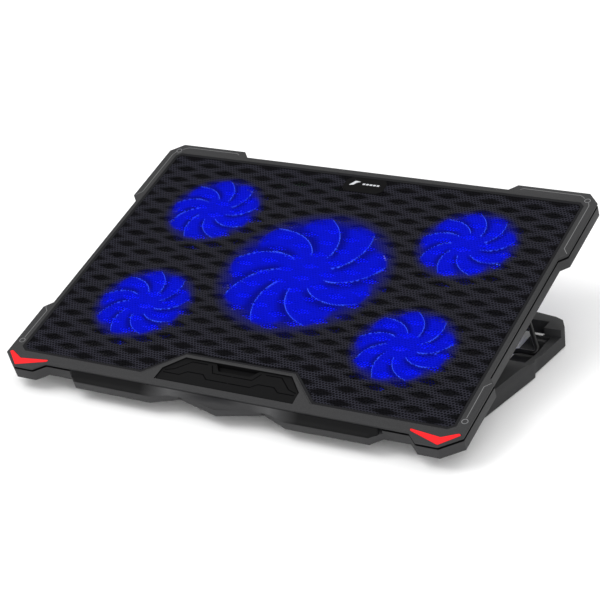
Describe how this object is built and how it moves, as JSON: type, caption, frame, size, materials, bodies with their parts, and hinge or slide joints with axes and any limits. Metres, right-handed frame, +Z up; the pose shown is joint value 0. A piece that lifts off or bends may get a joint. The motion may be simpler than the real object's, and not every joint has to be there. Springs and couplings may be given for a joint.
{
  "type": "laptop cooling pad",
  "caption": "Tilting laptop cooling pad with a perforated grille top, slim blue-lit fans, red corner accents, a fold-up stopper flap and a bent wire stand on a table frame.",
  "frame": {"origin": "middle of the footprint, on the table", "axes": "+X to the right, +Y to the rear (the raised edge), +Z up"},
  "size_m": [0.405, 0.2892, 0.0991],
  "materials": {
    "frame_plastic": "fine moulded grain",
    "rubber": "matt",
    "steel": "plain",
    "black_wire": "satin black coating",
    "clip_plastic": "moulded",
    "shell_plastic": "fine moulded grain",
    "cover_plastic": "fine moulded grain",
    "black_mesh": "perforated sheet, satin black",
    "red_trim": "smooth",
    "silver_trim": "smooth",
    "badge_black": "polished",
    "flap_plastic": "fine moulded grain",
    "blue_led": "lit",
    "lead_black": "smooth",
    "board_green": "lacquered board",
    "socket_metal": "plated",
    "switch_black": "moulded",
    "fan_clear": "clear plastic lit blue",
    "fan_blue": "clear plastic lit blue",
    "copper": "wound wire"
  },
  "bodies": {
    "base": {"base_frame": "frame_plastic", "base_feet": "rubber", "hinge_pins": "steel"},
    "deck": {"bottom_shell": "shell_plastic", "top_cover": "cover_plastic", "mesh_panel": "black_mesh", "corner_accents": "red_trim", "corner_rings": "silver_trim", "badge": "badge_black", "wire_clips": "clip_plastic", "clip_screws": "steel", "case_screws": "steel", "fan_screws": "steel", "fan_leds": "blue_led", "fan_leads": "lead_black", "control_board": "board_green", "usb_ports": "socket_metal", "switch_housing": "switch_black", "fan_frame_center": "fan_clear", "fan_frame_rear_left": "fan_clear", "fan_frame_rear_right": "fan_clear", "fan_frame_front_left": "fan_clear", "fan_frame_front_right": "fan_clear", "stator_center": "copper", "stator_rear_left": "copper", "stator_rear_right": "copper", "stator_front_left": "copper", "stator_front_right": "copper"},
    "wire": {"wire_stand": "black_wire"},
    "flap": {"stopper_flap": "flap_plastic", "flap_pins": "steel"},
    "rocker": {"power_rocker": "switch_black"},
    "fan_center": {"rotor_center": "fan_blue", "shaft_center": "steel"},
    "fan_rear_left": {"rotor_rear_left": "fan_blue", "shaft_rear_left": "steel"},
    "fan_rear_right": {"rotor_rear_right": "fan_blue", "shaft_rear_right": "steel"},
    "fan_front_left": {"rotor_front_left": "fan_blue", "shaft_front_left": "steel"},
    "fan_front_right": {"rotor_front_right": "fan_blue", "shaft_front_right": "steel"}
  },
  "joints": [
    {"name": "deck_tilt", "type": "hinge", "parent": "base", "child": "deck", "pos_m": [0, -0.112, 0.011], "axis": [1, 0, 0], "range_deg": [-15, 2]},
    {"name": "wire_swing", "type": "hinge", "parent": "deck", "child": "wire", "pos_m": [0, 0.10417, 0.07358], "axis": [1, 0, 0], "range_deg": [-28.6, 4]},
    {"name": "flap_lift", "type": "hinge", "parent": "deck", "child": "flap", "pos_m": [0, -0.12804, 0.02451], "axis": [1, 0, 0], "range_deg": [0, 90]},
    {"name": "switch_rock", "type": "hinge", "parent": "deck", "child": "rocker", "pos_m": [-0.086, 0.13478, 0.09069], "axis": [0, -0.2588, 0.9659], "range_deg": [0, 16]},
    {"name": "spin_center", "type": "hinge", "parent": "deck", "child": "fan_center", "pos_m": [0, 0.00963, 0.0555], "axis": [0, -0.2588, 0.9659], "continuous": true},
    {"name": "spin_rear_left", "type": "hinge", "parent": "deck", "child": "fan_rear_left", "pos_m": [-0.118, 0.06662, 0.07077], "axis": [0, -0.2588, 0.9659], "continuous": true},
    {"name": "spin_rear_right", "type": "hinge", "parent": "deck", "child": "fan_rear_right", "pos_m": [0.118, 0.06662, 0.07077], "axis": [0, -0.2588, 0.9659], "continuous": true},
    {"name": "spin_front_left", "type": "hinge", "parent": "deck", "child": "fan_front_left", "pos_m": [-0.118, -0.05219, 0.03893], "axis": [0, -0.2588, 0.9659], "continuous": true},
    {"name": "spin_front_right", "type": "hinge", "parent": "deck", "child": "fan_front_right", "pos_m": [0.118, -0.05219, 0.03893], "axis": [0, -0.2588, 0.9659], "continuous": true}
  ],
  "couplings": [
    {"joint": "wire_swing", "follows": "deck_tilt", "ratio": 1.9}
  ]
}
